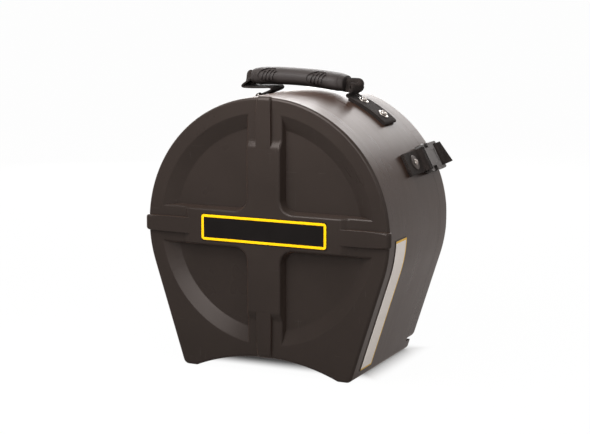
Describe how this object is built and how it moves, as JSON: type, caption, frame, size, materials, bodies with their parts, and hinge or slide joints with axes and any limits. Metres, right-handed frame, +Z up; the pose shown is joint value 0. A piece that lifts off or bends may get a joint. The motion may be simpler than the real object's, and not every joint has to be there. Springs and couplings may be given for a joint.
{
  "type": "drum case",
  "caption": "Round moulded drum case with flat feet, a pull-off lid held by strap buckles, a webbing carry handle and a dished face with a raised cross.",
  "frame": {"origin": "on the ground under the middle of the case's bounding box", "axes": "+Z up through the handle, -Y out of the face with the cross, +Y towards the lid, +X to the right seen from the front"},
  "size_m": [0.334, 0.2232, 0.3725],
  "materials": {
    "shell_plastic": "satin",
    "foam": "matte",
    "badge_film": "satin",
    "strip_film": "satin",
    "webbing": "matte",
    "grip_rubber": "satin",
    "buckle_plastic": "satin",
    "rivet_steel": "polished"
  },
  "bodies": {
    "case_body": {"body_shell": "shell_plastic", "body_foam_pad": "foam", "front_badge": "badge_film", "side_strip": "strip_film", "latch_tab_right": "webbing", "latch_rivet_right": "rivet_steel", "latch_washer_right": "rivet_steel", "latch_backing_right": "rivet_steel", "buckle_socket_right": "buckle_plastic", "handle_tab_right": "webbing", "handle_backing_right": "rivet_steel", "handle_fold_right": "webbing", "handle_rivet_right_lower": "rivet_steel", "handle_rivet_right_upper": "rivet_steel", "handle_washer_right_lower": "rivet_steel", "handle_washer_right_upper": "rivet_steel", "latch_tab_left": "webbing", "latch_rivet_left": "rivet_steel", "latch_washer_left": "rivet_steel", "latch_backing_left": "rivet_steel", "buckle_socket_left": "buckle_plastic", "handle_tab_left": "webbing", "handle_backing_left": "rivet_steel", "handle_fold_left": "webbing", "handle_rivet_left_lower": "rivet_steel", "handle_rivet_left_upper": "rivet_steel", "handle_washer_left_lower": "rivet_steel", "handle_washer_left_upper": "rivet_steel"},
    "lid": {"lid_shell": "shell_plastic", "lid_foam_pad": "foam", "buckle_plug_right": "buckle_plastic", "lid_strap_right": "webbing", "lid_rivet_right": "rivet_steel", "lid_washer_right": "rivet_steel", "lid_backing_right": "rivet_steel", "buckle_plug_left": "buckle_plastic", "lid_strap_left": "webbing", "lid_rivet_left": "rivet_steel", "lid_washer_left": "rivet_steel", "lid_backing_left": "rivet_steel"},
    "handle": {"handle_grip": "grip_rubber", "handle_strap": "webbing"},
    "prong_right_upper": {"buckle_prong_right_upper": "buckle_plastic"},
    "prong_right_lower": {"buckle_prong_right_lower": "buckle_plastic"},
    "prong_left_upper": {"buckle_prong_left_upper": "buckle_plastic"},
    "prong_left_lower": {"buckle_prong_left_lower": "buckle_plastic"}
  },
  "joints": [
    {"name": "lid_slide", "type": "slide", "parent": "case_body", "child": "lid", "axis": [0, 1, 0], "range_m": [0, 0.25], "deforming": ["buckle_prong_right_upper", "buckle_prong_right_lower", "buckle_prong_left_upper", "buckle_prong_left_lower"]},
    {"name": "handle_lift", "type": "slide", "parent": "case_body", "child": "handle", "axis": [0, 0, 1], "range_m": [0, 0.025], "deforming": ["handle_fold_right", "handle_fold_left"]},
    {"name": "squeeze_right_upper", "type": "hinge", "parent": "lid", "child": "prong_right_upper", "pos_m": [0.13991, 0.0827, 0.26977], "axis": [0.8854, 0, 0.4648], "range_deg": [0, 9.5], "stiffness_Nm_per_rad": 1},
    {"name": "squeeze_right_lower", "type": "hinge", "parent": "lid", "child": "prong_right_lower", "pos_m": [0.15227, 0.0827, 0.24622], "axis": [0.8854, 0, 0.4648], "range_deg": [-9.5, 0], "stiffness_Nm_per_rad": 1},
    {"name": "squeeze_left_upper", "type": "hinge", "parent": "lid", "child": "prong_left_upper", "pos_m": [-0.13991, 0.0827, 0.26977], "axis": [-0.8854, 0, 0.4648], "range_deg": [-9.5, 0], "stiffness_Nm_per_rad": 1},
    {"name": "squeeze_left_lower", "type": "hinge", "parent": "lid", "child": "prong_left_lower", "pos_m": [-0.15227, 0.0827, 0.24622], "axis": [-0.8854, 0, 0.4648], "range_deg": [0, 9.5], "stiffness_Nm_per_rad": 1}
  ],
  "couplings": [
    {"joint": "squeeze_right_lower", "follows": "squeeze_right_upper", "ratio": -1},
    {"joint": "squeeze_left_lower", "follows": "squeeze_left_upper", "ratio": -1}
  ]
}
